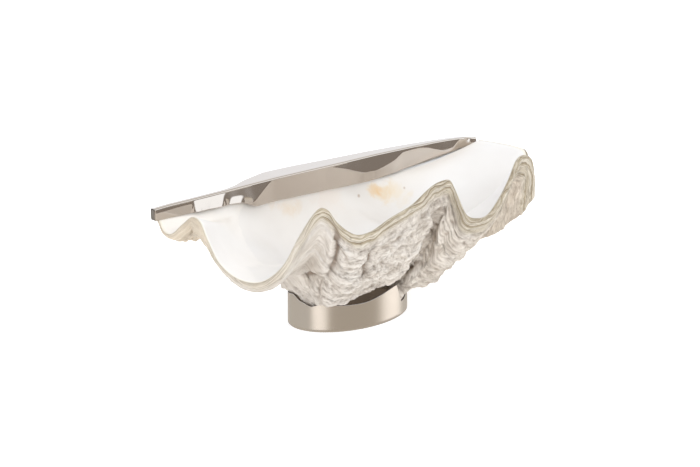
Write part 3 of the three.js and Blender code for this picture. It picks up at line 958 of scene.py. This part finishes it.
# oval collar whose rim stops just under the valve
def makeCollar():
    tree = BVHTree.FromObject(shell, bpy.context.evaluated_depsgraph_get())
    degrees = np.arange(collar["sides"]) * 360 / collar["sides"]
    angle = np.radians(degrees)
    rim = flowing(collar["rim"], 1, degrees)

    def ring(inset, height):
        x = (collar["half"] - inset) * np.cos(angle)
        y = (collar["side"] - inset) * np.sin(angle)
        return np.stack([x, y, height + 0 * angle], -1)

    chamfer, wall, edge, sides = collar["chamfer"], collar["wall"], collar["edge"], collar["sides"]
    for inset in (0, wall / 2, wall):
        for index, (x, y, z) in enumerate(ring(inset, collar["lookFrom"])):
            found = tree.ray_cast(Vector((x, y, z)) * metre, Vector((0, 0, 1)))[0]
            if found is not None:
                rim[index] = min(rim[index], found.z / metre - collar["gap"])
    shifts = range(-collar["ease"], collar["ease"] + 1)
    rim = np.min([np.roll(rim, shift) for shift in shifts], axis=0)
    rim = np.mean([np.roll(rim, shift) for shift in shifts], axis=0)
    rings = [ring(chamfer, 0), ring(0, chamfer)]
    shares = np.linspace(0, 1, collar["rows"])[1:]
    rings += [ring(0, mix(chamfer, rim - 2 * edge, share)) for share in shares]
    rings += [ring(0, rim - edge), ring(edge, rim), ring(wall - edge, rim), ring(wall, rim - edge)]
    rings += [ring(wall, collar["floor"])]
    points = np.concatenate([*rings, [[0, 0, 0], [0, 0, collar["floor"]]]])
    faces = []
    for level in range(len(rings) - 1):
        for side in range(sides):
            a, b = level * sides + side, level * sides + (side + 1) % sides
            faces.append((a, b, b + sides, a + sides))
    foot = len(rings) * sides
    for side in range(sides):
        ahead = (side + 1) % sides
        faces.append((foot, ahead, side))
        faces.append((foot + 1, foot - sides + side, foot - sides + ahead))
    hidden = np.zeros(len(points))
    hidden[(len(rings) - 2) * sides:] = 1
    # the rim's top is darker: a painted shadow line under the valve
    darkEdge = np.zeros(len(points))
    darkEdge[(len(rings) - 4) * sides:(len(rings) - 2) * sides] = 1
    piece = makePiece("ovalCollar", points, faces, {"hidden": hidden, "darkEdge": darkEdge})
    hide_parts("base")
    return piece


ovalCollar = makeCollar()
ovalCollar.data.materials.append(metalMaterial("satinNickel", **collar["finish"]))
print("collar made", len(ovalCollar.data.polygons), "faces")


view = {
    "round": 42,
    "up": 17,
    "lens": 100,
    "sensor": 36,
    "distance": 2.7222,
    "aside": 0.0027,
    "height": 0.118,
}


def makeCamera():
    a, e = math.radians(view["round"]), math.radians(view["up"])
    away = Vector((math.sin(a) * math.cos(e), math.cos(a) * math.cos(e), -math.sin(e)))
    look = Vector((view["aside"] * math.cos(a), -view["aside"] * math.sin(a), view["height"]))
    data = bpy.data.cameras.new("camera")
    data.lens, data.sensor_width = view["lens"], view["sensor"]
    camera = bpy.data.objects.new("camera", data)
    camera.location = look - away * view["distance"]
    camera.rotation_euler = away.to_track_quat("-Z", "Y").to_euler()
    bpy.context.scene.collection.objects.link(camera)
    bpy.context.scene.camera = camera


studio = {
    "floor": (0.88, 0.88, 0.88),
    "floorHalf": 9,
    "floorRough": 0.9,
    "floorGlow": 0.45,
    "sky": 0.8,
    # directions between which the back turns into the front, the low sides into the low front,
    # the upper part into the lower one, and a strip into what is beside it
    "turns": {
        "front": (0.1, -0.25), "lowFront": (-0.2, -0.9), "low": (-0.14, -0.22), "strip": (0.85, 0.945),
    },
    # height of the direction, brightness: what stands in front of the object and behind it
    "front": (
        (0.45, (0.42, 0.38, 0.36)), (0.57, (0.42, 0.39, 0.37)), (0.6, (1.9, 2.05, 2.25)),
        (0.75, (1.9, 2.05, 2.25)), (0.85, (1.0, 1.0, 1.0)),
    ),
    "back": ((0.5, (1.5, 1.6, 1.75)), (0.7, (1.4, 1.45, 1.55)), (0.8, (1.0, 1.0, 1.0))),
    # below the horizon: sides, middle of the front, and two soft strips with their directions
    "lowSide": (0.8, 0.75, 0.68),
    "lowFront": (0.7, 0.63, 0.54),
    "strip": (2.05, 1.96, 1.88),
    "strips": ((-0.848, -0.53, 0.0), (0.906, -0.423, 0.0)),
    "aim": (0, 0, 0.1),
    # name, place, size, power
    "lamps": (
        ("keyLight", (-1.5, -1.5, 2.0), 1.8, 8),
        ("frontLight", (-0.4, -2.4, 1.0), 1.6, 9),
        ("topLight", (0.2, 0.3, 2.4), 2.4, 19),
    ),
}


def makeStudio():
    mesh = bpy.data.meshes.new("floor")
    half = studio["floorHalf"]
    corners = [(-half, -half, 0), (half, -half, 0), (half, half, 0), (-half, half, 0)]
    mesh.from_pydata(corners, [], [(0, 1, 2, 3)])
    floor = bpy.data.objects.new("floor", mesh)
    bpy.context.scene.collection.objects.link(floor)
    paint = Paint(bpy.data.materials.new("floorFinish"))
    glow = {"Emission Color": (1.0, 1.0, 1.0), "Emission Strength": studio["floorGlow"]}
    paint.surface({"Base Color": studio["floor"], "Roughness": studio["floorRough"], **glow})
    mesh.materials.append(paint.owner)
    floor.visible_glossy = False
    world = bpy.data.worlds.new("studio")
    bpy.context.scene.world = world
    sky = Paint(world)
    way = sky.node("ShaderNodeTexCoord", {}, {}, "Generated")
    up = sky.node("ShaderNodeSeparateXYZ", {}, {0: way}, "Z")
    ahead = sky.node("ShaderNodeSeparateXYZ", {}, {0: way}, "Y")
    height = up * 0.5 + 0.5
    turns = studio["turns"]
    back, front = sky.ramp(height, studio["back"]), sky.ramp(height, studio["front"])
    colour = sky.blend(sky.step(ahead, *turns["front"]), back, front)
    low = sky.blend(sky.step(ahead, *turns["lowFront"]), studio["lowSide"], studio["lowFront"])
    for strip in studio["strips"]:
        near = sky.node("ShaderNodeVectorMath", {"operation": "DOT_PRODUCT"}, {0: way, 1: strip}, "Value")
        low = sky.blend(sky.step(near, *turns["strip"]), low, studio["strip"])
    colour = sky.blend(sky.step(up, *turns["low"]), colour, low)
    light = sky.node("ShaderNodeBackground", {}, {"Color": colour, "Strength": studio["sky"]})
    sky.node("ShaderNodeOutputWorld", {}, {"Surface": light})
    for name, place, size, power in studio["lamps"]:
        data = bpy.data.lights.new(name, "AREA")
        data.size, data.energy = size, power
        lamp = bpy.data.objects.new(name, data)
        lamp.location = place
        aim = Vector(studio["aim"]) - Vector(place)
        lamp.rotation_euler = aim.to_track_quat("-Z", "Y").to_euler()
        lamp.visible_glossy = False
        bpy.context.scene.collection.objects.link(lamp)
    bpy.context.scene.view_settings.view_transform = "Standard"


makeCamera()
makeStudio()
print("studio made")
